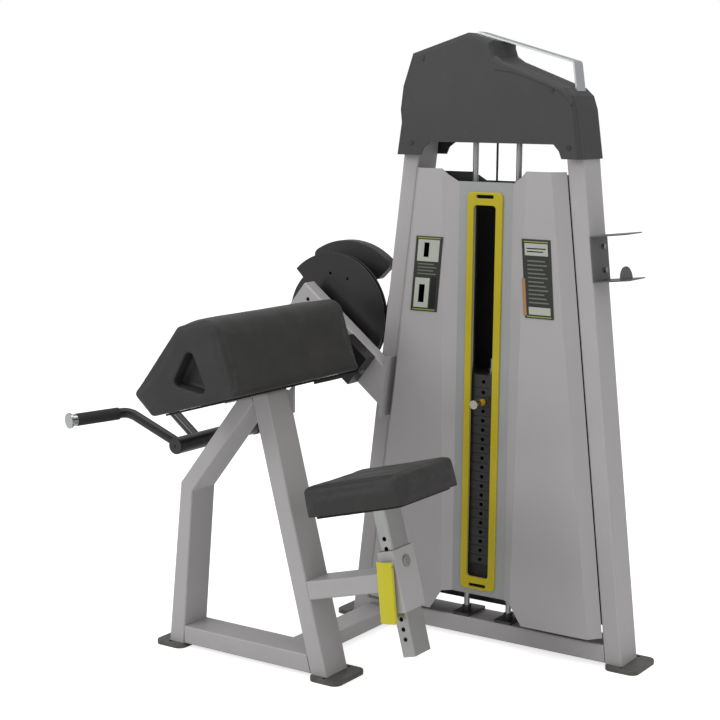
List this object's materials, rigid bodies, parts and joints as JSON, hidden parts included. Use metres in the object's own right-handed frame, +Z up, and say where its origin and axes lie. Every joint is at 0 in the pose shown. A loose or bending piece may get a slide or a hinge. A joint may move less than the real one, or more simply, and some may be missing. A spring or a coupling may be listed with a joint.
{
  "type": "seated arm curl machine",
  "caption": "Seated arm curl machine: padded arm bench with a seat and bent curl bar, joined to a weight-stack tower by a cam and cable.",
  "frame": {"origin": "floor level under the middle of the machine's outline", "axes": "+Z up; +X from the curl bar towards the seat side and tower's far upright; +Y from the bench to the tower's back"},
  "size_m": [1.3651, 0.888, 1.6838],
  "materials": {
    "light_paint": "satin",
    "panel_paint": "satin",
    "black_paint": "satin",
    "bracket_paint": "satin",
    "yellow_plastic": "gloss",
    "yellow_paint": "satin",
    "black_plastic": "fine texture",
    "placard_plastic": "satin",
    "upholstery": "grained vinyl",
    "board_wood": "stained black",
    "grip_rubber": "matte",
    "cable_coat": "satin",
    "bright_steel": "brushed",
    "chrome": "polished",
    "bright_band": "satin"
  },
  "bodies": {
    "frame": {"a_frame_front_leg": "light_paint", "a_frame_rear_post": "light_paint", "a_frame_base": "light_paint", "link_beam": "light_paint", "pad_plate": "light_paint", "seat_arm": "light_paint", "seat_sleeve": "light_paint", "support_beam": "light_paint", "left_upright": "light_paint", "right_upright": "light_paint", "tower_base": "light_paint", "shroud_left": "light_paint", "shroud_right": "light_paint", "shroud_center": "panel_paint", "foot_plates": "black_paint", "top_frame": "black_paint", "shroud_rear": "black_paint", "stack_base": "black_paint", "lower_weight_plates": "black_paint", "pad_end_bracket": "black_paint", "cap_screws": "black_paint", "bottle_holder": "bracket_paint", "slot_trim": "yellow_plastic", "cap_front": "black_plastic", "cap_rear": "black_plastic", "sleeve_liners": "black_plastic", "placards": "placard_plastic", "arm_pad": "upholstery", "pad_board": "board_wood", "stack_cushion": "grip_rubber", "drive_cable": "cable_coat", "guide_rods": "bright_steel", "frame_bolts": "bright_steel", "pulley_pins": "bright_steel", "axle_bearings": "bright_steel", "lever_bracket": "bright_steel", "clamp_button": "bright_steel", "top_band": "bright_band"},
    "seat": {"seat_post": "bright_steel", "seat_plate": "black_paint", "seat_board": "board_wood", "seat_pad": "upholstery"},
    "lock_lever": {"seat_lever": "yellow_paint"},
    "lock_pin": {"seat_lock_pin": "bright_steel"},
    "curl_arm": {"elbow_axle": "bright_steel", "lever_arm": "black_paint", "cross_tube": "black_paint", "cam": "black_paint", "counterweight": "black_paint", "counterweight_arm": "black_paint", "cam_cable": "cable_coat"},
    "curl_bar": {"curl_bar": "black_paint", "hand_grips": "grip_rubber", "bar_end_caps": "chrome"},
    "stack": {"lifted_weight_plates": "black_paint", "selector_tube": "bright_steel", "stack_cable": "cable_coat"},
    "selector_pin": {"selector_pin": "bright_steel"},
    "left_pulley": {"left_pulley": "black_plastic"},
    "right_pulley": {"right_pulley": "black_plastic"}
  },
  "joints": [
    {"name": "curl_arm_hinge", "type": "hinge", "parent": "frame", "child": "curl_arm", "pos_m": [-0.329, 0.276, 0.879], "axis": [0, 1, 0], "range_deg": [0, 110]},
    {"name": "curl_bar_hinge", "type": "hinge", "parent": "curl_arm", "child": "curl_bar", "pos_m": [-0.466, -0.163, 0.565], "axis": [0, 1, 0], "range_deg": [0, 60]},
    {"name": "stack_lift", "type": "slide", "parent": "frame", "child": "stack", "axis": [0, 0, 1], "range_m": [0, 0.34], "deforming": ["stack_cable"]},
    {"name": "left_pulley_turn", "type": "hinge", "parent": "frame", "child": "left_pulley", "pos_m": [0.023, 0.337, 1.49], "axis": [0, 1, 0], "range_deg": [-400, 10]},
    {"name": "right_pulley_turn", "type": "hinge", "parent": "frame", "child": "right_pulley", "pos_m": [0.153, 0.337, 1.49], "axis": [0, 1, 0], "range_deg": [-400, 10]},
    {"name": "selector_pin_pull", "type": "slide", "parent": "stack", "child": "selector_pin", "axis": [0, -1, 0], "range_m": [0, 0.09]},
    {"name": "seat_height", "type": "slide", "parent": "frame", "child": "seat", "axis": [-0.2588, 0, 0.9659], "range_m": [-0.0777, 0.0777]},
    {"name": "seat_lock_lever", "type": "hinge", "parent": "frame", "child": "lock_lever", "pos_m": [0.22, -0.231, 0.345], "axis": [-0.9945, 0, -0.1045], "range_deg": [0, 20], "stiffness_Nm_per_rad": 0.6},
    {"name": "seat_lock_pin_slide", "type": "slide", "parent": "frame", "child": "lock_pin", "axis": [0, -1, 0], "range_m": [0, 0.009]}
  ],
  "couplings": [
    {"joint": "stack_lift", "follows": "curl_arm_hinge", "m_per_rad": 0.175},
    {"joint": "left_pulley_turn", "follows": "curl_arm_hinge", "ratio": -3.5},
    {"joint": "right_pulley_turn", "follows": "curl_arm_hinge", "ratio": -3.5},
    {"joint": "seat_lock_pin_slide", "follows": "seat_lock_lever", "m_per_rad": 0.023}
  ]
}
